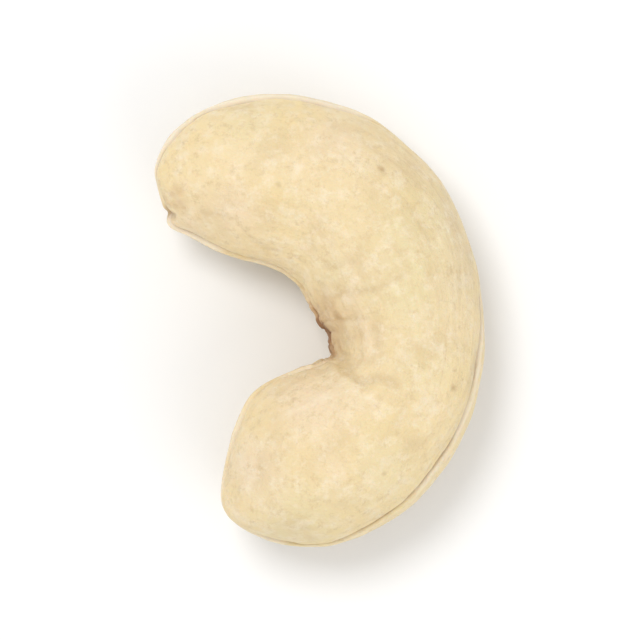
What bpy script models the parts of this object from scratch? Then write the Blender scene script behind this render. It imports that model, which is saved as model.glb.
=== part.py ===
"""A whole cashew kernel, lying on its broad side.

Seen from above the kernel is a C that opens towards -X. Its slim lobe is at +Y and its
plump lobe at -Y. The origin is on the surface below the middle of the kernel's box.
"""

import bmesh
import bpy
import numpy as np
from mathutils import Vector, noise

# Driving dimensions, in metres: the kernel's length, and how deep its three low spots
# are pressed flat
LENGTH = 0.025
REST_CUT = 0.00006

# The kernel's sections from the slim tip to the plump tip, in hundredths of the length:
# where the back edge and the belly edge lie in plan, and the heights of the crown and
# of the underside. Height 0 is the level of the widest line.
SLIM_TIP = (-36.1, 32.8, 2.4)
PLUMP_TIP = (-20.7, -39.8, 4.2)
SECTIONS = (
    # back x, back y, belly x, belly y, crown, underside
    (-31.6, 41.9, -33.6, 23.6, 10.2, -12.0),
    (-21.6, 47.6, -27.4, 18.2, 14.4, -17.7),
    (-8.5, 49.1, -17.4, 13.8, 16.6, -20.7),
    (6.0, 45.8, -8.6, 10.7, 17.7, -20.3),
    (18.2, 38.2, -4.1, 5.6, 18.5, -19.6),
    (27.7, 26.7, -1.6, 1.0, 19.2, -19.4),
    (33.3, 12.9, 0.8, -3.0, 19.6, -19.9),
    (35.0, -3.0, 0.9, -6.7, 20.1, -20.4),
    (32.5, -18.9, -1.5, -7.6, 21.0, -20.1),
    (25.1, -31.9, -8.1, -10.3, 21.8, -19.6),
    (14.6, -42.2, -15.0, -14.5, 21.8, -20.2),
    (2.1, -47.5, -19.1, -22.9, 19.8, -20.8),
    (-11.9, -45.8, -21.0, -32.0, 14.6, -15.0),
)
LAST_STATION = len(SECTIONS) + 1
OUTLINE_SAMPLES = 720

# How the sections differ from ellipses, whose power is 2
POWER_AT_TIPS = 2.0
POWER_AT_BEND = 2.15
BACK_FULLNESS = 0.05

# Mesh density: points round each section, and sections along the kernel
POINTS_ROUND = 84
SECTIONS_ALONG = 70
SEAM_CROWDING = 0.30
TIP_CROWDING = 0.42

# The seam where the two halves meet, as angles above the widest line: its lift at the
# tips and inside the bend, how far it wanders, and the stretches of the back where it
# swings lower or higher, each with its station, its swing and its spread in stations
SEAM_LIFT_AT_TIPS = np.radians(13.0)
SEAM_LIFT_AT_BEND = np.radians(9.0)
SEAM_WANDER = np.radians(2.6)
SEAM_WANDER_RATE = 1.7
SEAM_SWINGS = (
    (6.0, np.radians(-14.0), 1.3),
    (9.8, np.radians(15.0), 1.9),
)

# Depth and width of the seam's groove in metres, on the back, at the tips and in the
# inside of the bend, and how far the upper half's edge lies back from the lower one's
SEAM_BACK = (0.00009, 0.00017)
SEAM_TIPS = (0.00014, 0.00017)
SEAM_BEND = (0.00045, 0.00027)
LEDGE_AT_TIPS = 0.00015
LEDGE_AT_BEND = 0.00006
LEDGE_REACH = 0.00070

# The groove grows shallower over this share of a station before each tip, down to this
# share of its depth
GROOVE_FADE = 0.35
GROOVE_LEFT_AT_TIP = 0.55

# The folds that spread over both halves from the inside of the bend: the station each
# starts at, how far it drifts along the kernel, its depth in metres and its width in
# stations. FOLD_REACH is how far round the section they run, and FOLD_FADE how soon
# they grow shallow.
FOLDS = (
    (4.9, -1.2, 0.00010, 0.26),
    (5.9, -0.5, 0.00013, 0.22),
    (6.8, 0.1, 0.00016, 0.22),
    (7.8, 0.5, 0.00026, 0.26),
    (8.8, 1.3, 0.00016, 0.28),
)
FOLD_REACH = np.radians(95.0)
FOLD_FADE = 1.5

# The root end, on the belly side of the slim tip: the hollow beside the root bud, the
# notch below it and the swelling below that. Each has its station, its height in metres
# and its width in metres.
ROOT_END = (
    (0.58, -0.00030, 0.00095),
    (0.95, -0.00026, 0.00040),
    (1.33, 0.00036, 0.00080),
)

# Slow unevenness of the whole surface: height and size in metres
LUMPS = ((0.00020, 0.0070), (0.00007, 0.0030))

KERNEL_COLOUR = (0.80, 0.66, 0.42, 1.0)
KERNEL_ROUGHNESS = 0.55


def clear_scene():
    for old_object in list(bpy.data.objects):
        bpy.data.objects.remove(old_object, do_unlink=True)


def kernel_material():
    material = bpy.data.materials.new("kernel_flesh")
    material.use_nodes = True
    shader = material.node_tree.nodes["Principled BSDF"]
    shader.inputs["Base Color"].default_value = KERNEL_COLOUR
    shader.inputs["Roughness"].default_value = KERNEL_ROUGHNESS
    shader.inputs["Metallic"].default_value = 0.0
    return material


def closed_spline(points):
    """Control points of the smooth closed curve that passes through the points."""
    points = np.array(points)
    own = np.eye(len(points))
    weights = (4 * own + np.roll(own, 1, axis=1) + np.roll(own, -1, axis=1)) / 6
    return np.linalg.solve(weights, points)


def spline_points(controls, stations):
    """Points of the closed curve: station 0 is the first point, 1 the next, and so on."""
    first = np.floor(stations).astype(int)
    f = (stations - first)[:, None]
    weights = (
        (1 - f) ** 3 / 6,
        (3 * f ** 3 - 6 * f ** 2 + 4) / 6,
        (-3 * f ** 3 + 3 * f ** 2 + 3 * f + 1) / 6,
        f ** 3 / 6,
    )
    count = len(controls)
    return sum(w * controls[(first + i - 1) % count] for i, w in enumerate(weights))


def edge_controls():
    """Both edges as one closed curve, out along the back and home along the belly.

    Its third column is the crown's height on the way out and the underside's on the
    way home.
    """
    back = [(bx, by, crown) for bx, by, _, _, crown, _ in SECTIONS]
    belly = [(x, y, under) for _, _, x, y, _, under in reversed(SECTIONS)]
    return closed_spline([SLIM_TIP, *back, PLUMP_TIP, *belly])


def signed_power(values, power):
    return np.sign(values) * np.abs(values) ** power


def bump(distance, width):
    """A smooth hump: one at no distance, and nearly nothing at two widths."""
    return np.exp(-(distance / width) ** 2)


def bend_share(stations):
    """Nought at the tips and one in the middle of the bend."""
    return np.sin(np.pi * stations / LAST_STATION) ** 2


def blend(start, end, share):
    return start + (end - start) * share


def seam_lift(stations, turns):
    """How far the seam on each point's own side lies above the widest line, as an angle."""
    lift = blend(SEAM_LIFT_AT_TIPS, SEAM_LIFT_AT_BEND, bend_share(stations))
    wander = np.sin(SEAM_WANDER_RATE * stations) * np.sin(np.pi * stations / LAST_STATION)
    swing = sum(angle * bump(stations - middle, spread) for middle, angle, spread in SEAM_SWINGS)
    on_back = np.clip(np.cos(turns), 0, 1)
    return lift + SEAM_WANDER * wander + swing * on_back


def surface_points(stations, turns):
    """Points of the smooth form, in metres.

    A turn of nought is the seam on the back, and half a turn is the seam on the belly.
    The points crowd together at the seam, which is lifted above the widest line.
    """
    controls = edge_controls()
    outline = spline_points(controls, np.linspace(0, 2 * LAST_STATION, OUTLINE_SAMPLES))
    unit = LENGTH / np.ptp(outline[:, 1])

    out = spline_points(controls, stations)
    home = spline_points(controls, 2 * LAST_STATION - stations)
    angles = turns - SEAM_CROWDING * np.sin(2 * turns)
    angles += seam_lift(stations, turns) * np.cos(turns)
    power = 2 / blend(POWER_AT_TIPS, POWER_AT_BEND, bend_share(stations))
    across = signed_power(np.cos(angles), power)
    upward = signed_power(np.sin(angles), power)
    upward = upward * (1 + BACK_FULLNESS * np.cos(angles))

    centres = (out + home) / 2
    halves = (out - home) / 2
    plan = centres[:, :2] + halves[:, :2] * across[:, None]
    heights = centres[:, 2] + halves[:, 2] * upward
    return np.column_stack([plan, heights]) * unit


def fold_relief(stations, turns):
    """The folds: deepest at the belly, and gone by FOLD_REACH from it."""
    from_belly = np.abs(np.pi - turns) / FOLD_REACH
    fade = np.clip(1 - from_belly, 0, 1) ** FOLD_FADE
    depth = sum(fold_depth * bump(stations - start - drift * from_belly, width)
                for start, drift, fold_depth, width in FOLDS)
    return depth * fade


def lump_relief(points):
    total = np.zeros(len(points))
    for height, size in LUMPS:
        total += height * np.array([noise.noise(Vector(p) / size) for p in points])
    return total


def seam_relief(points, stations, turns):
    """The groove all round, and the upper half's edge set back above it."""
    share = bend_share(stations)
    on_back = np.cos(turns) > 0
    seam = surface_points(stations, np.where(on_back, 0, np.pi))
    above_seam = points[:, 2] - seam[:, 2]
    depth = np.where(on_back, blend(SEAM_TIPS[0], SEAM_BACK[0], share),
                     blend(SEAM_TIPS[0], SEAM_BEND[0], share))
    width = np.where(on_back, blend(SEAM_TIPS[1], SEAM_BACK[1], share),
                     blend(SEAM_TIPS[1], SEAM_BEND[1], share))
    from_tip = np.minimum(stations, LAST_STATION - stations)
    depth = depth * np.clip(from_tip / GROOVE_FADE, GROOVE_LEFT_AT_TIP, 1)
    upper_half = (1 + np.tanh(above_seam / width)) / 2
    ledge = blend(LEDGE_AT_TIPS, LEDGE_AT_BEND, share) * upper_half
    return -ledge * bump(above_seam, LEDGE_REACH) - depth * bump(above_seam, width)


def relief(points, stations, turns):
    """How far each point stands out from the smooth form, in metres."""
    height = lump_relief(points) - fold_relief(stations, turns)
    height += seam_relief(points, stations, turns)
    for station, feature_height, width in ROOT_END:
        centre = surface_points(np.array([station]), np.array([np.pi]))[0]
        distance = np.linalg.norm(points - centre, axis=1)
        height += feature_height * bump(distance, width)
    return height


def move_vertices(form, points):
    for vertex, point in zip(form.verts, points):
        vertex.co = point
    form.normal_update()


def kernel_form():
    """A ball whose poles become the two tips, drawn out along the kernel's sections."""
    form = bmesh.new()
    bmesh.ops.create_uvsphere(
        form, u_segments=POINTS_ROUND, v_segments=SECTIONS_ALONG, radius=1.0)
    ball = np.array([vertex.co for vertex in form.verts])
    share_along = np.arccos(np.clip(ball[:, 2], -1, 1)) / np.pi
    share_along -= TIP_CROWDING * np.sin(2 * np.pi * share_along) / (2 * np.pi)
    stations = LAST_STATION * share_along
    turns = np.arctan2(ball[:, 1], ball[:, 0]) % (2 * np.pi)

    points = surface_points(stations, turns)
    move_vertices(form, points)
    bmesh.ops.recalc_face_normals(form, faces=form.faces)
    normals = np.array([vertex.normal for vertex in form.verts])
    move_vertices(form, points + normals * relief(points, stations, turns)[:, None])
    return form


def rest_on_surface(form):
    """Cuts the low spots of the underside flat, and centres the kernel over the origin."""
    low = min(vertex.co.z for vertex in form.verts) + REST_CUT
    cut = bmesh.ops.bisect_plane(
        form, geom=form.verts[:] + form.edges[:] + form.faces[:],
        plane_co=(0, 0, low), plane_no=(0, 0, -1), clear_outer=True)
    rims = [item for item in cut["geom_cut"] if isinstance(item, bmesh.types.BMEdge)]
    bmesh.ops.holes_fill(form, edges=rims, sides=0)
    places = np.array([vertex.co for vertex in form.verts])
    middle = (places.min(axis=0) + places.max(axis=0)) / 2
    bmesh.ops.translate(form, verts=form.verts, vec=(-middle[0], -middle[1], -low))


def cashew_kernel(collection):
    form = kernel_form()
    rest_on_surface(form)
    mesh = bpy.data.meshes.new("cashew_kernel")
    form.to_mesh(mesh)
    form.free()
    mesh.shade_smooth()
    mesh.materials.append(kernel_material())
    kernel = bpy.data.objects.new("cashew_kernel", mesh)
    collection.objects.link(kernel)


def main():
    clear_scene()
    collection = bpy.data.collections.new("cashew_nut")
    bpy.context.scene.collection.children.link(collection)
    cashew_kernel(collection)


main()
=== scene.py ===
import bmesh
import bpy
import numpy as np
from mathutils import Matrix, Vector, noise


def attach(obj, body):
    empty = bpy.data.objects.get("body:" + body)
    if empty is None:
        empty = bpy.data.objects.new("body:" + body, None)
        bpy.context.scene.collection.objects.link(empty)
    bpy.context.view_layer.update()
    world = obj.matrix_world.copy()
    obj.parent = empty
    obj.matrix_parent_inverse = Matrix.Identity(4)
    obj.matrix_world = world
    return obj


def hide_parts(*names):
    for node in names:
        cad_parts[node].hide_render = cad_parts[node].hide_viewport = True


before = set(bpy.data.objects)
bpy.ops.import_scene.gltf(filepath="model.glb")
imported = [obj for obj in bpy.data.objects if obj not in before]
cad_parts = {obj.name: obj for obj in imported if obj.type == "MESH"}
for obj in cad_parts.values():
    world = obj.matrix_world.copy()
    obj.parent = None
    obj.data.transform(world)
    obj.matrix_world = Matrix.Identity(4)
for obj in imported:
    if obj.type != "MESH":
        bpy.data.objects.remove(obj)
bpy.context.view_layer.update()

# A whole cashew kernel on its broad side: a finer copy of the CAD model's solid, with
# the low relief and the colours of its flesh. Lengths are in metres, unless their comment
# gives another unit.

# The kernel's form, as in the CAD model: its length, and how deep its low spots are
# pressed flat
LENGTH = 0.025
REST_CUT = 0.00006

# The sections from the slim tip to the plump tip, in hundredths of the length: where the
# back edge and the belly edge lie in plan, and the heights of the crown and of the
# underside. The places of single marks further down are in the same unit.
PLAN_UNIT = LENGTH / 100
SLIM_TIP = (-36.1, 32.8, 2.4)
PLUMP_TIP = (-20.7, -39.8, 4.2)
SECTIONS = (
    # back x, back y, belly x, belly y, crown, underside
    (-31.6, 41.9, -33.6, 23.6, 10.2, -12.0),
    (-21.6, 47.6, -27.4, 18.2, 14.4, -17.7),
    (-8.5, 49.1, -17.4, 13.8, 16.6, -20.7),
    (6.0, 45.8, -8.6, 10.7, 17.7, -20.3),
    (18.2, 38.2, -4.1, 5.6, 18.5, -19.6),
    (27.7, 26.7, -1.6, 1.0, 19.2, -19.4),
    (33.3, 12.9, 0.8, -3.0, 19.6, -19.9),
    (35.0, -3.0, 0.9, -6.7, 20.1, -20.4),
    (32.5, -18.9, -1.5, -7.6, 21.0, -20.1),
    (25.1, -31.9, -8.1, -10.3, 21.8, -19.6),
    (14.6, -42.2, -15.0, -14.5, 21.8, -20.2),
    (2.1, -47.5, -19.1, -22.9, 19.8, -20.8),
    (-11.9, -45.8, -21.0, -32.0, 14.6, -15.0),
)

# A station is a place along the kernel: 0 at the slim tip, 1 at the first section, and so
# on to the plump tip. A turn is an angle round the kernel: nought at the seam on the
# back, a quarter turn at the crown and half a turn at the seam on the belly.
LAST_STATION = len(SECTIONS) + 1
OUTLINE_SAMPLES = 720

# How the sections differ from ellipses, whose power is 2
POWER_AT_TIPS = 2.0
POWER_AT_BEND = 2.15
BACK_FULLNESS = 0.05

# Mesh density: points round each section, sections along the kernel, and how much they
# crowd together at the seam and at the tips
POINTS_ROUND = 288
SECTIONS_ALONG = 342
SEAM_CROWDING = 0.30
TIP_CROWDING = 0.25

# The seam's line, as in the CAD model, as angles above the widest line: its lift at the
# tips and inside the bend, how far it wanders, and the stretches of the back where it
# swings lower or higher, each with its station, its swing and its spread in stations
SEAM_LIFT_AT_TIPS = np.radians(13.0)
SEAM_LIFT_AT_BEND = np.radians(9.0)
SEAM_WANDER = np.radians(2.6)
SEAM_WANDER_RATE = 1.7
SEAM_SWINGS = (
    (6.0, np.radians(-14.0), 1.3),
    (9.8, np.radians(15.0), 1.9),
)

# Depth and width of the seam's groove, and how far the upper half's edge lies back from
# the lower one's, as in the CAD model
SEAM_BACK = (0.00009, 0.00017)
SEAM_TIPS = (0.00014, 0.00017)
SEAM_BEND = (0.00045, 0.00027)
LEDGE_AT_TIPS = 0.00015
LEDGE_AT_BEND = 0.00006
LEDGE_REACH = 0.00070

# The folds inside the bend, as in the CAD model: the station each starts at, how far it
# drifts along the kernel, its depth, and its width in stations. FOLD_REACH is how far
# round the kernel they run, and FOLD_FADE how soon they grow shallow.
FOLDS = (
    (4.9, -1.2, 0.00010, 0.26),
    (5.9, -0.5, 0.00013, 0.22),
    (6.8, 0.1, 0.00016, 0.22),
    (7.8, 0.5, 0.00026, 0.26),
    (8.8, 1.3, 0.00016, 0.28),
)
FOLD_REACH = np.radians(95.0)
FOLD_FADE = 1.5
DEEPEST_FOLD = max(depth for _, _, depth, _ in FOLDS)

# The root end, as in the CAD model: a hollow, the notch and a swelling on the belly side
# of the slim tip, each with its station, its height and its width
ROOT_END = (
    (0.58, -0.00030, 0.00095),
    (0.95, -0.00026, 0.00040),
    (1.33, 0.00036, 0.00080),
)

# Slow unevenness of the whole surface, as in the CAD model: height and size
LUMPS = ((0.00020, 0.0070), (0.00007, 0.0030))

# The kernel drawn out straight, which lets fine marks run along or across it
STATION_LENGTH = 0.0026
STRAIGHT_RADIUS = 0.0052

# Each kind of mark reads the noise at a shift of its own, so that no two patterns agree
NOISE_SHIFTS = {
    "lumps": 0.0,
    "seam wobble": 4.0,
    "seam patches": 21.8,
    "crack patches": 7.3,
    "chips": 12.0,
    "dents": 3.1,
    "veins": 2.0,
    "streaks": 11.0,
    "wrinkles": 5.0,
    "rough rim": 8.0,
    "crease wander": 9.0,
    "skin patches": 2.2,
}

# How sharply the seam of one side takes over from that of the other, at the crown
SIDE_SHARPNESS = 1.5

# Round the slim tip the seam runs this much higher than in the CAD model, so that the
# lower half's edge shows from above. The rise fades out between these stations.
SEAM_RISE = 0.0007
RISE_ON_BACK = (2.2, 4.8)
RISE_ON_BELLY = (0.0, 0.85)

# The seam's own unevenness: the heights and sizes by which its line wobbles, and how much
# its groove and its ledge vary in patches along it, between their least and their most
SEAM_WOBBLE = ((0.00009, 0.0026), (0.00004, 0.0008))
SEAM_PATCH = 0.0030
SEAM_VARIES = 1.5
SEAM_LEAST = 0.25
SEAM_MOST = 1.6

# Chips in the seam's two edges: depth, size and reach from the seam, and the level and
# the swing of the noise that says where they are
CHIP_DEPTH = 0.00008
CHIP_SIZE = 0.0008
CHIP_REACH = 0.00026
CHIPPED = (-0.4, 3.0)

# The painted highlight along the lower half's edge, a pale strip: how far it reaches below
# the seam, how far round the slim tip, and how wide its blurred upper border is. Its strength
# is EDGE_GAIN times the seam's, less EDGE_CUT, and the rise round the slim tip adds to it.
EDGE_REACH = 0.00045
EDGE_REACH_AT_RISE = 0.0012
EDGE_BLUR = 0.00008
EDGE_GAIN = 1.5
EDGE_CUT = 1.0

# The fine crack at the bottom of the seam's groove: depth, width and size of its patches,
# and the level and the swing of its strength on the back and elsewhere
CRACK_DEPTH = 0.00010
CRACK_WIDTH = 0.00006
CRACK_PATCH = 0.0022
CRACK_ON_BACK = (0.45, 1.2)
CRACK_ELSEWHERE = (0.80, 0.8)

# Small dents all over, and thin lines and streaks that the skin left along the kernel
DENTS = ((0.000042, 0.0019), (0.000026, 0.0009))
VEIN_DEPTH = 0.000034
VEIN_STRETCH = np.array([0.0070, 0.0016, 0.0016])
VEIN_THINNESS = 0.13
STREAK_HEIGHT = 0.000018
STREAK_STRETCH = np.array([0.0040, 0.00050, 0.00050])

# Wrinkles across the kernel, close to the inside of the bend. Their middle and their
# spread are in stations.
WRINKLE_DEPTH = 0.000085
WRINKLE_STRETCH = np.array([0.0013, 0.0045, 0.0045])
WRINKLE_THINNESS = 0.16
WRINKLE_MIDDLE = 7.0
WRINKLE_SPREAD = 2.4
WRINKLE_REACH = np.radians(88.0)

# The rough rim inside the bend, where remains of the brown skin cling. Its middle and its
# spread are in stations.
RIM_MIDDLE = 6.7
RIM_SPREAD = 1.35
RIM_REACH = np.radians(72.0)
RIM_ROUGHNESS = ((0.000060, 0.0009), (0.000040, 0.00045))

# The remains of the skin, partly painted shade inside the bend: how far they reach below and
# above the seam, the weights and sizes of their patches, and how much these vary them
SKIN_AND_SHADE_REACH_DOWN = 0.0021
SKIN_AND_SHADE_REACH_UP = 0.0012
SKIN_PATCHES = ((1.0, 0.0010), (0.6, 0.0004))
SKIN_AND_SHADE_VARIES = 0.8

# Above the skin, the flesh inside the bend is painted tan, partly a stain and partly painted
# shade: how much, how far along the belly in stations, how far up from the seam, and how
# much the same patches vary it
TAN_AND_SHADE_STRENGTH = 0.42
TAN_AND_SHADE_SPREAD = 1.5
TAN_AND_SHADE_REACH = 0.0030
TAN_AND_SHADE_VARIES = 0.5

# The stain at the root end: plan place, radius in metres and strength, and the part of
# its strength that doesn't come from the skin's patches
ROOT_STAIN = (-33.0, 27.5, 0.0009, 0.45)
ROOT_STAIN_LEVEL = 0.6

# Painted shade in the seam's crack and groove and in the folds
CRACK_SHADE_REACH = 1.6 * CRACK_WIDTH
GROOVE_SHADE = 0.42
GROOVE_REACH = 0.00020
FOLD_SHADE = 0.35

# Painted warmer reflected light on the sides, within about this height of the seam
WARM_REFLECTION_REACH = 0.0026

# Hollows of the fine relief are darker, painted shade and partly a darker tone of the flesh:
# how far an even place counts as a hollow, from 0 to 1, and the depth that adds 1 to that
HOLLOW_SHADE_LEVEL = 0.30
HOLLOW_SHADE_DEPTH = 0.00012

# Marks with a place in plan stay on the upper side, because each metre below the widest
# line counts as this many metres from them
UNDERSIDE_DISTANCE = 2

# Single creases on the upper side: start and end in plan, depth and width in metres
CREASES = (
    (3.0, 5.9, 10.4, 7.2, 0.000060, 0.00018),
    (10.4, 7.2, 18.1, 10.7, 0.000045, 0.00018),
    (0.3, 12.7, 6.4, 13.6, 0.000055, 0.00018),
    (3.6, 0.9, 9.7, 1.6, 0.000050, 0.00016),
    (4.3, -8.5, 8.4, -11.5, 0.000110, 0.00030),
    (8.4, -11.5, 16.2, -12.8, 0.000085, 0.00034),
    (-17.6, 21.2, -10.5, 15.9, 0.000050, 0.00022),
    (-26.0, 24.8, -19.4, 22.6, 0.000040, 0.00020),
)
CREASE_WANDER = 0.00030
CREASE_WANDER_SIZE = 0.0013

# The nick at the root end: its line in plan, its depth and width, and how far up and
# down from the seam it reaches
NICK_LINE = ((-36.0, 24.9), (-32.6, 24.0))
NICK_DEPTH = 0.00026
NICK_WIDTH = 0.00017
NICK_RISE = 0.0013

# The crumbly nubs beside the nick and at the back edge: plan place, height and radius in
# metres
NUBS = (
    (-33.6, 30.4, 0.00012, 0.00028),
    (-31.2, 28.0, 0.00009, 0.00024),
    (-33.2, 27.0, 0.00012, 0.00022),
    (-5.0, 48.6, 0.00010, 0.00022),
)

# Soft tints on the upper side: plan place, radius in hundredths of the length, and
# how rosy or, below nought, how olive each is
TINTS = (
    (-19.5, 26.0, 6.0, 0.7),
    (-3.0, -17.0, 9.0, 0.8),
    (9.0, -2.5, 5.5, 0.7),
    (2.6, 40.5, 7.0, 0.5),
    (-30.0, 21.0, 5.0, 0.6),
    (20.2, 20.3, 8.0, -0.9),
    (-16.0, 44.0, 6.0, -0.5),
    (22.0, -9.0, 6.5, -0.7),
    (12.5, -31.0, 9.0, -0.6),
    (-5.0, -42.5, 8.0, -0.8),
    (5.5, -3.5, 3.0, -1.0),
    (2.0, 11.0, 3.5, -0.8),
    (18.0, 7.0, 8.0, -0.9),
    (-15.0, -31.0, 6.0, 0.8),
    (3.0, -31.0, 5.0, 0.5),
)

# Small dark specks on the upper side: plan place, height and radius in hundredths of
# the length, and how dark each is. Their edges are ragged by SPECK_RAGGED, in metres.
SPECKS = (
    (13.4, 32.7, 37.2, 1.3, 0.60),
    (29.0, -14.8, 38.3, 1.2, 0.55),
    (3.6, 0.9, 33.8, 1.4, 0.50),
    (-6.1, -17.0, 38.0, 1.1, 0.35),
    (14.0, -33.5, 40.9, 0.9, 0.35),
    (-9.1, 29.5, 38.7, 0.9, 0.35),
)
SPECK_RAGGED = 0.00026

# Colours of the flesh and its marks, and of the light and shade painted on it
CREAM = (0.760, 0.622, 0.395, 1.0)
YELLOW_CREAM = (0.735, 0.585, 0.322, 1.0)
# Painted warmer light reflected onto the sides near the seam
WARM_REFLECTION_CREAM = (0.87, 0.690, 0.370, 1.0)
PALE_CREAM = (0.84, 0.735, 0.555, 1.0)
ROSY_CREAM = (0.81, 0.650, 0.470, 1.0)
OLIVE_CREAM = (0.71, 0.620, 0.360, 1.0)
# Painted shade in the hollows, partly a darker tone; also the darker patches of the random
# mottle
DARK_CREAM = (0.64, 0.490, 0.275, 1.0)
STREAK_TAN = (0.60, 0.430, 0.230, 1.0)
# Painted highlight along the lower half's edge below the seam
EDGE_HIGHLIGHT = (0.90, 0.810, 0.660, 1.0)
# Painted shade in the seam's crack, groove, folds and nick; also the colour of the small specks
DARK_TAN = (0.36, 0.220, 0.095, 1.0)
# Tan and brown of the skin's remains inside the bend, partly painted shade
SKIN_AND_SHADE_TAN = (0.54, 0.340, 0.170, 1.0)
SKIN_AND_SHADE_BROWN = (0.28, 0.140, 0.065, 1.0)

# The layers laid on the cream: colour, the values of the layer's mask where it starts and
# where it is full, and how strong it is there
BLOTCH_LAYER = (YELLOW_CREAM, 0.38, 0.66, 1.0)
# Painted reflected light: the sides near the seam are painted warmer
WARM_REFLECTION_LAYER = (WARM_REFLECTION_CREAM, 0.0, 1.0, 0.8)
ROSY_LAYER = (ROSY_CREAM, 0.0, 1.0, 0.8)
OLIVE_LAYER = (OLIVE_CREAM, 0.0, 1.0, 0.6)
# Painted shade in the hollows, partly a darker tone of the flesh
HOLLOW_SHADE_LAYER = (DARK_CREAM, 0.30, 1.0, 0.80)
STREAK_LAYER = (STREAK_TAN, 0.04, 0.26, 0.35)
MOTTLE_LAYER = (PALE_CREAM, 0.48, 0.66, 0.60)
SHADE_LAYER = (DARK_CREAM, 0.52, 0.68, 0.80)
# Painted highlight along the lower half's edge below the seam
EDGE_HIGHLIGHT_LAYER = (EDGE_HIGHLIGHT, 0.0, 1.0, 0.75)
# Painted shade in the seam's crack and groove, in the folds and in the nick
CREASE_SHADE_LAYER = (DARK_TAN, 0.05, 1.0, 0.70)
# Tan and brown of the skin's remains inside the bend, partly painted shade
THIN_SKIN_AND_SHADE_LAYER = (SKIN_AND_SHADE_TAN, 0.05, 0.60, 0.85)
THICK_SKIN_AND_SHADE_LAYER = (SKIN_AND_SHADE_BROWN, 0.60, 1.0, 0.90)

# The material's noise, which runs from 0 to 1: size of its lumps, detail and roughness
BLOTCH_NOISE = (0.0052, 2.0, 0.5)
MOTTLE_NOISE = (0.0009, 6.0, 0.75)
SHADE_NOISE = (0.0006, 6.0, 0.80)
STREAK_NOISE = (0.00032, 3.0, 0.6)
SPECK_NOISE = (0.00035, 2.0, 0.5)
GLOSS_NOISE = (0.0010, 3.0, 0.5)
GRAIN_NOISE = (0.00042, 4.0, 0.65)
NOISE_MIDDLE = 0.5

# What the noise's place is multiplied by: for the streaks, so that they are drawn out
# along the kernel, and for the shade, so that its pattern isn't the mottle's
STREAK_DRAW = (0.12, 1.0, 1.0)
SHADE_TURN = (1.0, 1.0, -1.0)

# The flesh's roughness: a low and a high value of its noise, and the roughness at each
FLESH_ROUGHNESS = (0.3, 0.7, 0.48, 0.62)
FLESH_FINISH = {
    "Specular IOR Level": 0.36,
    "Subsurface Weight": 0.25,
    "Subsurface Radius": (1.0, 0.66, 0.36),
    "Subsurface Scale": 0.00045,
}

# The flesh's grain: its height, and how much the streaks add to it
GRAIN_HEIGHT = 0.00011
GRAIN_STREAKS = 0.6

# The studio: its white surroundings, its lamps (place, size across and watts) and its floor
WHITE = (1.0, 1.0, 1.0, 1.0)
SURROUNDINGS_STRENGTH = 0.74
LAMPS = {
    "overhead": ((-0.065, 0.080, 0.28), 0.10, 0.355),
    "fill": ((0.16, -0.17, 0.24), 0.24, 0.21),
}
FLOOR_SIZE = 2.0
FLOOR_FINISH = {"Base Color": (0.88, 0.88, 0.88, 1.0), "Roughness": 0.9}

# The camera, straight above the kernel. Its lens is in millimetres.
CAMERA_HEIGHT = 0.30
CAMERA_LENS = 300.0
CAMERA_NEAR = 0.01
CAMERA_FAR = 10.0

# Sockets of a Mix node that mixes colours
MIX_SHARE = 0
MIX_FIRST = 6
MIX_SECOND = 7
MIX_RESULT = 2


def closed_spline(points):
    """Control points of the smooth closed curve that passes through the points."""
    points = np.array(points)
    own = np.eye(len(points))
    weights = (4 * own + np.roll(own, 1, axis=1) + np.roll(own, -1, axis=1)) / 6
    return np.linalg.solve(weights, points)


def spline_points(controls, stations):
    """Points of the closed curve: station 0 is the first point, 1 the next, and so on."""
    first = np.floor(stations).astype(int)
    f = (stations - first)[:, None]
    weights = (
        (1 - f) ** 3 / 6,
        (3 * f ** 3 - 6 * f ** 2 + 4) / 6,
        (-3 * f ** 3 + 3 * f ** 2 + 3 * f + 1) / 6,
        f ** 3 / 6,
    )
    count = len(controls)
    return sum(w * controls[(first + i - 1) % count] for i, w in enumerate(weights))


def edge_controls():
    """Both edges as one closed curve in metres, out along the back and home on the belly.

    Its third column is the crown's height on the way out and the underside's on the
    way home.
    """
    back = [(bx, by, crown) for bx, by, _, _, crown, _ in SECTIONS]
    belly = [(x, y, under) for _, _, x, y, _, under in reversed(SECTIONS)]
    controls = closed_spline([SLIM_TIP, *back, PLUMP_TIP, *belly])
    outline = spline_points(controls, np.linspace(0, 2 * LAST_STATION, OUTLINE_SAMPLES))
    return controls * LENGTH / np.ptp(outline[:, 1])


CONTROLS = edge_controls()


def signed_power(values, power):
    return np.sign(values) * np.abs(values) ** power


def bump(distance, width):
    """A smooth hump: one at no distance, and nearly nothing at two widths."""
    return np.exp(-(distance / width) ** 2)


def bend_share(stations):
    """Nought at the tips and one in the middle of the bend."""
    return np.sin(np.pi * stations / LAST_STATION) ** 2


def blend(start, end, share):
    return start + (end - start) * share


def fading(values, start, end):
    """One up to the start, and from there smoothly down to nought at the end."""
    share = np.clip((values - start) / (end - start), 0, 1)
    return 1 - share * share * (3 - 2 * share)


def within(distance, reach):
    """One up to half the reach, a half at the reach, and nought half as far again."""
    return np.clip(1.5 - distance / reach, 0, 1)


def patchy(patches, level, swing):
    """Strengths from 0 to 1 that rise and fall with the patches about their level."""
    return np.clip(level + swing * patches, 0, 1)


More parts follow.
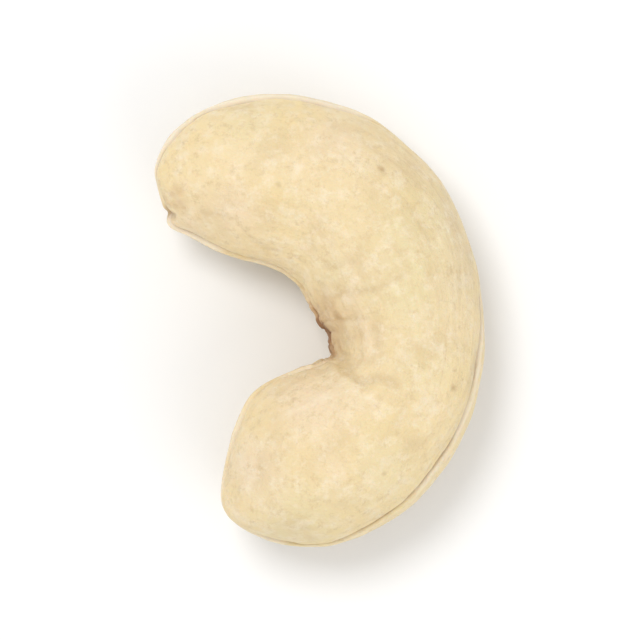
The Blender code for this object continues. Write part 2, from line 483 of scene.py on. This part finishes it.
def seam_lift(stations, turns):
    """How far the seam on each point's own side lies above the widest line, as an angle."""
    lift = blend(SEAM_LIFT_AT_TIPS, SEAM_LIFT_AT_BEND, bend_share(stations))
    wander = np.sin(SEAM_WANDER_RATE * stations) * np.sin(np.pi * stations / LAST_STATION)
    swing = sum(angle * bump(stations - middle, spread) for middle, angle, spread in SEAM_SWINGS)
    on_back = np.clip(np.cos(turns), 0, 1)
    return lift + SEAM_WANDER * wander + swing * on_back


def surface_points(stations, turns):
    """Points of the smooth form. Its widest line is at height 0."""
    out = spline_points(CONTROLS, stations)
    home = spline_points(CONTROLS, 2 * LAST_STATION - stations)
    angles = turns - SEAM_CROWDING * np.sin(2 * turns)
    angles += seam_lift(stations, turns) * np.cos(turns)
    power = 2 / blend(POWER_AT_TIPS, POWER_AT_BEND, bend_share(stations))
    across = signed_power(np.cos(angles), power)
    upward = signed_power(np.sin(angles), power)
    upward = upward * (1 + BACK_FULLNESS * np.cos(angles))
    centres = (out + home) / 2
    halves = (out - home) / 2
    plan = centres[:, :2] + halves[:, :2] * across[:, None]
    heights = centres[:, 2] + halves[:, 2] * upward
    return np.column_stack([plan, heights])


def noise_of(points, size, pattern):
    """Smooth noise from about -1 to 1, whose lumps measure about the given size."""
    places = points / size + NOISE_SHIFTS[pattern]
    return np.array([noise.noise(place) for place in places.tolist()])


class Surface:
    """Where each vertex of the kernel lies, in the terms that its relief and marks use."""

    def __init__(self, stations, turns):
        self.stations = stations
        self.turns = turns
        self.points = surface_points(stations, turns)
        self.share = bend_share(stations)
        self.on_back = np.cos(turns) > 0
        self.from_belly = np.abs(np.pi - turns)
        self.straight = np.column_stack([
            stations * STATION_LENGTH,
            STRAIGHT_RADIUS * np.cos(turns),
            STRAIGHT_RADIUS * np.sin(turns)])
        self.underside_gap = UNDERSIDE_DISTANCE * np.clip(-self.points[:, 2], 0, None)
        self.place_seam()

    def place_seam(self):
        """How far above the seam each point lies, and how strong the seam is near it."""
        toward_back = np.clip(0.5 + SIDE_SHARPNESS * np.cos(self.turns), 0, 1)
        back_seam = surface_points(self.stations, np.zeros(len(self.turns)))
        belly_seam = surface_points(self.stations, np.full(len(self.turns), np.pi))
        seam_height = blend(belly_seam[:, 2], back_seam[:, 2], toward_back)
        rise_on_belly = fading(self.stations, *RISE_ON_BELLY)
        rise_on_back = fading(self.stations, *RISE_ON_BACK)
        self.rise = blend(rise_on_belly, rise_on_back, toward_back)
        wobble = sum(height * noise_of(self.points, size, "seam wobble")
                     for height, size in SEAM_WOBBLE)
        self.above_seam = self.points[:, 2] - seam_height - SEAM_RISE * self.rise + wobble
        patches = noise_of(self.points, SEAM_PATCH, "seam patches")
        self.seam_strength = np.clip(1 + SEAM_VARIES * patches, SEAM_LEAST, SEAM_MOST)

    def fade_from(self, middle, spread, reach):
        """One at a station of the belly, fading along the kernel and up its sides."""
        along = bump(self.stations - middle, spread)
        return along * np.clip(1 - self.from_belly / reach, 0, 1)

    def from_spot(self, x, y):
        """How far each point lies from a place in plan, on the upper side only."""
        gap = np.hypot(self.points[:, 0] - x * PLAN_UNIT, self.points[:, 1] - y * PLAN_UNIT)
        return gap + self.underside_gap

    def from_line(self, start, end, wander_by):
        """How far each point lies in plan from a line that wanders a little."""
        start = np.array(start) * PLAN_UNIT
        run = np.array(end) * PLAN_UNIT - start
        wander = noise_of(self.points, CREASE_WANDER_SIZE, "crease wander")
        plan = self.points[:, :2] - start + wander_by * wander[:, None]
        share = np.clip(plan @ run / (run @ run), 0, 1)
        return np.linalg.norm(plan - share[:, None] * run, axis=1)

    def from_belly_spot(self, station):
        """How far each point lies from the seam's place on the belly at a station."""
        centre = surface_points(np.array([station]), np.array([np.pi]))[0]
        return np.linalg.norm(self.points - centre, axis=1)

    def drawn_noise(self, stretch, pattern):
        """Noise whose lumps are drawn out along or across the kernel, to the sizes given."""
        return noise_of(self.straight / stretch, 1.0, pattern)

    def thin_lines(self, stretch, thinness, pattern):
        """One along a net of thin wandering lines, and nought between them."""
        return bump(self.drawn_noise(stretch, pattern), thinness)


def fold_depth_at(surface):
    """The folds: deepest at the belly, and gone by FOLD_REACH from it."""
    away = surface.from_belly / FOLD_REACH
    fade = np.clip(1 - away, 0, 1) ** FOLD_FADE
    depth = sum(fold_depth * bump(surface.stations - start - drift * away, width)
                for start, drift, fold_depth, width in FOLDS)
    return depth * fade


def seam_relief(surface):
    """The groove all round, and the upper half's uneven edge set back above it."""
    share = surface.share
    depth = np.where(surface.on_back, blend(SEAM_TIPS[0], SEAM_BACK[0], share),
                     blend(SEAM_TIPS[0], SEAM_BEND[0], share))
    width = np.where(surface.on_back, blend(SEAM_TIPS[1], SEAM_BACK[1], share),
                     blend(SEAM_TIPS[1], SEAM_BEND[1], share))
    upper_half = (1 + np.tanh(surface.above_seam / width)) / 2
    ledge = blend(LEDGE_AT_TIPS, LEDGE_AT_BEND, share) * upper_half
    height = -ledge * bump(surface.above_seam, LEDGE_REACH)
    return (height - depth * bump(surface.above_seam, width)) * surface.seam_strength


def coarse_relief(surface):
    """The relief that the CAD model has too, with a less even seam."""
    height = sum(lump * noise_of(surface.points, size, "lumps") for lump, size in LUMPS)
    height += seam_relief(surface) - fold_depth_at(surface)
    for station, feature_height, width in ROOT_END:
        height += feature_height * bump(surface.from_belly_spot(station), width)
    return height


def crack_strength(surface):
    """Where the crack is open, from 0 to 1: all round, but in stretches on the back."""
    patches = noise_of(surface.points, CRACK_PATCH, "crack patches")
    toward_back = np.clip(np.cos(surface.turns), 0, 1) * surface.share
    return blend(patchy(patches, *CRACK_ELSEWHERE), patchy(patches, *CRACK_ON_BACK), toward_back)


def crack_relief(surface):
    return -CRACK_DEPTH * crack_strength(surface) * bump(surface.above_seam, CRACK_WIDTH)


def chip_relief(surface):
    """Chips broken out of the seam's two edges."""
    chipped = patchy(noise_of(surface.points, CHIP_SIZE, "chips"), *CHIPPED)
    return -CHIP_DEPTH * chipped * bump(surface.above_seam, CHIP_REACH)


def wrinkle_relief(surface):
    """The wrinkles and the rough rim inside the bend."""
    lines = surface.thin_lines(WRINKLE_STRETCH, WRINKLE_THINNESS, "wrinkles")
    near_wrinkles = surface.fade_from(WRINKLE_MIDDLE, WRINKLE_SPREAD, WRINKLE_REACH)
    rough = sum(lump * noise_of(surface.points, size, "rough rim")
                for lump, size in RIM_ROUGHNESS)
    near_rim = surface.fade_from(RIM_MIDDLE, RIM_SPREAD, RIM_REACH)
    return rough * near_rim - WRINKLE_DEPTH * lines * near_wrinkles


def nick_strength(surface):
    """Where the nick at the root end is, from 0 to 1: deepest at the seam."""
    across = bump(surface.from_line(*NICK_LINE, wander_by=0.0), NICK_WIDTH)
    return across * bump(surface.above_seam, NICK_RISE)


def single_marks(surface):
    """The nick, the creases and the nubs, which are placed one by one."""
    height = -NICK_DEPTH * nick_strength(surface)
    for x0, y0, x1, y1, depth, width in CREASES:
        gap = surface.from_line((x0, y0), (x1, y1), CREASE_WANDER) + surface.underside_gap
        height -= depth * bump(gap, width)
    for x, y, nub_height, radius in NUBS:
        height += nub_height * bump(surface.from_spot(x, y), radius)
    return height


def skin_imprint(surface):
    """Dents, veins and streaks that the skin left all over the kernel."""
    dents = sum(dent * noise_of(surface.points, size, "dents") for dent, size in DENTS)
    veins = surface.thin_lines(VEIN_STRETCH, VEIN_THINNESS, "veins")
    streaks = surface.drawn_noise(STREAK_STRETCH, "streaks")
    return dents + (STREAK_HEIGHT * streaks - VEIN_DEPTH * veins) * surface.share


def crease_shade_mask(surface):
    """Painted shade in the seam's crack and groove, in the folds and in the nick."""
    crack = crack_strength(surface) * bump(surface.above_seam, CRACK_SHADE_REACH)
    groove = GROOVE_SHADE * bump(surface.above_seam, GROOVE_REACH)
    folds = FOLD_SHADE * np.clip(fold_depth_at(surface) / DEEPEST_FOLD, 0, 1)
    return np.clip(np.maximum.reduce([crack, groove, folds, nick_strength(surface)]), 0, 1)


def skin_and_shade_mask(surface):
    """Brown skin in patches along the bend's rim and a tan above it, both partly painted shade,
    and the root's stain.
    """
    patches = sum(weight * noise_of(surface.points, size, "skin patches")
                  for weight, size in SKIN_PATCHES)
    along = surface.stations - RIM_MIDDLE
    up = surface.above_seam
    # Brown skin, partly painted shade deep inside the bend
    skin = bump(along, RIM_SPREAD) * (1 + SKIN_AND_SHADE_VARIES * patches)
    skin *= within(np.maximum(up / SKIN_AND_SHADE_REACH_UP, -up / SKIN_AND_SHADE_REACH_DOWN), 1)
    # Tan above the skin, partly painted shade
    tan = TAN_AND_SHADE_STRENGTH * bump(along, TAN_AND_SHADE_SPREAD) * (1 + TAN_AND_SHADE_VARIES * patches)
    tan *= within(up, TAN_AND_SHADE_REACH)
    inside_bend = np.maximum(skin, tan) * ~surface.on_back
    x, y, radius, strength = ROOT_STAIN
    root = strength * bump(surface.from_spot(x, y), radius) * (ROOT_STAIN_LEVEL + patches)
    return np.clip(inside_bend + root, 0, 1)


def edge_highlight_mask(surface):
    """The painted highlight on the pale strip just below the seam, widest round the slim tip."""
    below = np.clip(0.5 - surface.above_seam / EDGE_BLUR, 0, 1)
    reach = blend(EDGE_REACH, EDGE_REACH_AT_RISE, surface.rise)
    strength = np.clip(EDGE_GAIN * surface.seam_strength - EDGE_CUT + surface.rise, 0, 1)
    return below * bump(surface.above_seam, reach) * strength


def stain_and_light_colours(surface):
    """Masks: red is the painted shade in the creases, green brown skin partly painted shade,
    blue the painted highlight on the seam's lower edge, alpha the painted warmer light on the
    sides.
    """
    # Painted warmer reflected light on the sides near the seam
    warm_reflection = bump(surface.above_seam, WARM_REFLECTION_REACH)
    return np.column_stack([
        crease_shade_mask(surface), skin_and_shade_mask(surface), edge_highlight_mask(surface), warm_reflection])


def tint_and_hollow_shade_colours(surface, fine_height):
    """Masks: red is rosy, green olive, blue the painted shade in the hollows, and alpha fades
    out at the tips.
    """
    tint = sum(strength * bump(surface.from_spot(x, y), radius * PLAN_UNIT)
               for x, y, radius, strength in TINTS)
    rosy = np.clip(tint, 0, 1)
    olive = np.clip(-tint, 0, 1)
    # Painted shade in the hollows, partly a darker tone of the flesh
    hollow_shade = np.clip(HOLLOW_SHADE_LEVEL - fine_height / HOLLOW_SHADE_DEPTH, 0, 1)
    return np.column_stack([rosy, olive, hollow_shade, surface.share])


def kernel_ball():
    """A ball whose poles become the two tips: its mesh, and each vertex's station and turn."""
    form = bmesh.new()
    bmesh.ops.create_uvsphere(
        form, u_segments=POINTS_ROUND, v_segments=SECTIONS_ALONG, radius=1.0)
    mesh = bpy.data.meshes.new("cashew_kernel_fine")
    form.to_mesh(mesh)
    form.free()
    ball = np.zeros(len(mesh.vertices) * 3)
    mesh.vertices.foreach_get("co", ball)
    ball = ball.reshape(-1, 3)
    share_along = np.arccos(np.clip(ball[:, 2], -1, 1)) / np.pi
    share_along -= TIP_CROWDING * np.sin(2 * np.pi * share_along) / (2 * np.pi)
    turns = np.arctan2(ball[:, 1], ball[:, 0]) % (2 * np.pi)
    return mesh, LAST_STATION * share_along, turns


def set_places(mesh, places):
    mesh.vertices.foreach_set("co", places.ravel())
    mesh.update()


def vertex_normals(mesh):
    normals = np.zeros(len(mesh.vertices) * 3)
    mesh.vertex_normals.foreach_get("vector", normals)
    return normals.reshape(-1, 3)


def face_outward(mesh, points):
    """Turns the faces over if the first vertex's normal points inward."""
    if vertex_normals(mesh)[0] @ (points[0] - points.mean(axis=0)) < 0:
        mesh.flip_normals()


def store(mesh, name, kind, field, values):
    mesh.attributes.new(name, kind, "POINT").data.foreach_set(field, values.ravel())


def fine_kernel():
    """The kernel: the CAD model's form and relief, and the fine relief on top of them."""
    mesh, stations, turns = kernel_ball()
    surface = Surface(stations, turns)
    set_places(mesh, surface.points)
    face_outward(mesh, surface.points)
    coarse = surface.points + vertex_normals(mesh) * coarse_relief(surface)[:, None]
    set_places(mesh, coarse)

    fine_height = skin_imprint(surface) + single_marks(surface) + wrinkle_relief(surface)
    height = fine_height + chip_relief(surface) + crack_relief(surface)
    fine = coarse + vertex_normals(mesh) * height[:, None]
    middle = (coarse.min(axis=0) + coarse.max(axis=0)) / 2
    fine -= np.array([middle[0], middle[1], coarse[:, 2].min() + REST_CUT])
    fine[:, 2] = np.maximum(fine[:, 2], 0)
    set_places(mesh, fine)

    store(mesh, "stains_and_painted_light", "FLOAT_COLOR", "color", stain_and_light_colours(surface))
    store(mesh, "tints_and_hollow_shade", "FLOAT_COLOR", "color", tint_and_hollow_shade_colours(surface, fine_height))
    store(mesh, "straight", "FLOAT_VECTOR", "vector", surface.straight)
    mesh.shade_smooth()
    kernel = bpy.data.objects.new("cashew_kernel_fine", mesh)
    bpy.context.scene.collection.objects.link(kernel)
    return kernel


class Nodes:
    """Short ways to add the nodes of one material."""

    def __init__(self, name, finish):
        self.material = bpy.data.materials.new(name)
        self.material.use_nodes = True
        self.tree = self.material.node_tree
        self.shader = self.tree.nodes["Principled BSDF"]
        for socket_name, value in finish.items():
            self.feed(self.shader.inputs[socket_name], value)

    def link(self, source, target):
        self.tree.links.new(source, target)

    def feed(self, target, value):
        """Links a socket to the value, or sets it where the value isn't a socket itself."""
        if isinstance(value, bpy.types.NodeSocket):
            self.link(value, target)
        else:
            target.default_value = value

    def add(self, kind, **settings):
        node = self.tree.nodes.new(kind)
        for name, value in settings.items():
            setattr(node, name, value)
        return node

    def attribute(self, name):
        return self.add("ShaderNodeAttribute", attribute_name=name)

    def channels(self, name):
        """The red, green, blue and alpha of a colour attribute."""
        source = self.attribute(name)
        split = self.add("ShaderNodeSeparateColor")
        self.link(source.outputs["Color"], split.inputs["Color"])
        return *split.outputs[:3], source.outputs["Alpha"]

    def stretched(self, place, stretch):
        node = self.add("ShaderNodeVectorMath", operation="MULTIPLY")
        self.feed(node.inputs[0], place)
        self.feed(node.inputs[1], stretch)
        return node.outputs["Vector"]

    def distance(self, place, spot):
        node = self.add("ShaderNodeVectorMath", operation="DISTANCE")
        self.feed(node.inputs[0], place)
        self.feed(node.inputs[1], spot)
        return node.outputs["Value"]

    def math(self, operation, first, second):
        node = self.add("ShaderNodeMath", operation=operation)
        self.feed(node.inputs[0], first)
        self.feed(node.inputs[1], second)
        return node.outputs["Value"]

    def noise(self, place, size, detail, roughness):
        """Noise from 0 to 1, whose lumps measure about the given size in metres."""
        node = self.add("ShaderNodeTexNoise")
        self.feed(node.inputs["Vector"], place)
        self.feed(node.inputs["Scale"], 1 / size)
        self.feed(node.inputs["Detail"], detail)
        self.feed(node.inputs["Roughness"], roughness)
        return node.outputs["Fac"]

    def spread(self, value, low, high, to_low, to_high):
        """The value, which runs from low to high, drawn out to run from to_low to to_high."""
        node = self.add("ShaderNodeMapRange")
        self.feed(node.inputs["Value"], value)
        self.feed(node.inputs["From Min"], low)
        self.feed(node.inputs["From Max"], high)
        self.feed(node.inputs["To Min"], to_low)
        self.feed(node.inputs["To Max"], to_high)
        return node.outputs["Result"]

    def mix(self, share, first, second):
        node = self.add("ShaderNodeMix", data_type="RGBA")
        self.feed(node.inputs[MIX_SHARE], share)
        self.feed(node.inputs[MIX_FIRST], first)
        self.feed(node.inputs[MIX_SECOND], second)
        return node.outputs[MIX_RESULT]

    def laid_on(self, colour, mask, layer):
        """The colour with a layer on it, where the mask says."""
        layer_colour, start, full, strength = layer
        return self.mix(self.spread(mask, start, full, 0.0, strength), colour, layer_colour)


def streaks_along(nodes):
    """Fine streaks along the kernel, about nought, that fade out towards its tips."""
    drawn = nodes.stretched(nodes.attribute("straight").outputs["Vector"], STREAK_DRAW)
    streaks = nodes.math("SUBTRACT", nodes.noise(drawn, *STREAK_NOISE), NOISE_MIDDLE)
    *_, away_from_tips = nodes.channels("tints_and_hollow_shade")
    return nodes.math("MULTIPLY", streaks, away_from_tips)


def flesh_colour(nodes, place, streaks, warm_reflection):
    """Cream in soft blotches, with fine mottling and faint streaks along the kernel, painted
    warmer light on the sides near the seam and painted shade in the hollows.
    """
    rosy, olive, hollow_shade, _ = nodes.channels("tints_and_hollow_shade")
    blotches = nodes.noise(place, *BLOTCH_NOISE)
    mottle = nodes.noise(place, *MOTTLE_NOISE)
    shade = nodes.noise(nodes.stretched(place, SHADE_TURN), *SHADE_NOISE)
    colour = nodes.laid_on(CREAM, blotches, BLOTCH_LAYER)
    # Painted warmer reflected light on the sides near the seam
    colour = nodes.laid_on(colour, warm_reflection, WARM_REFLECTION_LAYER)
    colour = nodes.laid_on(colour, rosy, ROSY_LAYER)
    colour = nodes.laid_on(colour, olive, OLIVE_LAYER)
    # Painted shade in the hollows, partly a darker tone of the flesh
    colour = nodes.laid_on(colour, hollow_shade, HOLLOW_SHADE_LAYER)
    colour = nodes.laid_on(colour, streaks, STREAK_LAYER)
    colour = nodes.laid_on(colour, mottle, MOTTLE_LAYER)
    return nodes.laid_on(colour, shade, SHADE_LAYER)


def marked_colour(nodes, colour, crease, skin, edge):
    """The colour with the painted highlight on the seam's lower edge, the painted shade in the
    creases, and the remains of the skin, partly painted shade.
    """
    # Painted highlight along the lower half's edge below the seam
    colour = nodes.laid_on(colour, edge, EDGE_HIGHLIGHT_LAYER)
    # Painted shade in the seam's crack and groove, in the folds and in the nick
    colour = nodes.laid_on(colour, crease, CREASE_SHADE_LAYER)
    # The skin's remains inside the bend, partly painted shade
    colour = nodes.laid_on(colour, skin, THIN_SKIN_AND_SHADE_LAYER)
    return nodes.laid_on(colour, skin, THICK_SKIN_AND_SHADE_LAYER)


def specked_colour(nodes, place, colour):
    """The colour with the small specks, whose edges are ragged."""
    ragged = nodes.spread(nodes.noise(place, *SPECK_NOISE), 0.0, 1.0, 0.0, SPECK_RAGGED)
    near = SPECK_RAGGED / 2
    for x, y, z, radius, darkness in SPECKS:
        spot = np.array([x, y, z]) * PLAN_UNIT
        gap = nodes.math("ADD", nodes.distance(place, spot), ragged)
        share = nodes.spread(gap, near, near + radius * PLAN_UNIT, darkness, 0.0)
        colour = nodes.mix(share, colour, DARK_TAN)
    return colour


def kernel_material():
    """Matt, slightly waxy nut flesh."""
    nodes = Nodes("kernel_flesh", FLESH_FINISH)
    place = nodes.add("ShaderNodeTexCoord").outputs["Object"]
    streaks = streaks_along(nodes)
    # Painted shade in the creases, skin partly painted shade, painted highlight on the seam's
    # lower edge, painted warmer light on the sides
    crease, skin, edge, warm_reflection = nodes.channels("stains_and_painted_light")
    colour = flesh_colour(nodes, place, streaks, warm_reflection)
    colour = marked_colour(nodes, colour, crease, skin, edge)
    nodes.link(specked_colour(nodes, place, colour), nodes.shader.inputs["Base Color"])

    roughness = nodes.spread(nodes.noise(place, *GLOSS_NOISE), *FLESH_ROUGHNESS)
    nodes.link(roughness, nodes.shader.inputs["Roughness"])

    grain = nodes.noise(place, *GRAIN_NOISE)
    streak_height = nodes.math("MULTIPLY", streaks, GRAIN_STREAKS)
    relief = nodes.add("ShaderNodeBump")
    nodes.feed(relief.inputs["Strength"], 1.0)
    nodes.feed(relief.inputs["Distance"], GRAIN_HEIGHT)
    nodes.link(nodes.math("ADD", grain, streak_height), relief.inputs["Height"])
    nodes.link(relief.outputs["Normal"], nodes.shader.inputs["Normal"])
    return nodes.material


def floor():
    bpy.ops.mesh.primitive_plane_add(size=FLOOR_SIZE, location=(0, 0, 0))
    plane = bpy.context.object
    plane.name = "floor"
    plane.data.materials.append(Nodes("floor_white", FLOOR_FINISH).material)


def soft_light(name, place, size, watts):
    """A round lamp that points at the origin."""
    light = bpy.data.lights.new(name, "AREA")
    light.shape = "DISK"
    light.size = size
    light.energy = watts
    lamp = bpy.data.objects.new(name, light)
    lamp.location = place
    lamp.rotation_euler = (-Vector(place)).to_track_quat("-Z", "Y").to_euler()
    bpy.context.scene.collection.objects.link(lamp)


def studio():
    world = bpy.data.worlds.new("studio")
    world.use_nodes = True
    background = world.node_tree.nodes["Background"]
    background.inputs["Color"].default_value = WHITE
    background.inputs["Strength"].default_value = SURROUNDINGS_STRENGTH
    bpy.context.scene.world = world
    for name, (place, size, watts) in LAMPS.items():
        soft_light(name, place, size, watts)
    bpy.context.scene.view_settings.view_transform = "Standard"


def camera():
    """The camera, which looks straight down with +Y at the top of the picture."""
    lens = bpy.data.cameras.new("camera")
    lens.lens = CAMERA_LENS
    lens.clip_start = CAMERA_NEAR
    lens.clip_end = CAMERA_FAR
    eye = bpy.data.objects.new("camera", lens)
    eye.location = (0.0, 0.0, CAMERA_HEIGHT)
    bpy.context.scene.collection.objects.link(eye)
    bpy.context.scene.camera = eye


def main():
    kernel = fine_kernel()
    kernel.data.materials.append(kernel_material())
    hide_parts("cashew_kernel")
    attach(kernel, "root")
    floor()
    studio()
    camera()


main()
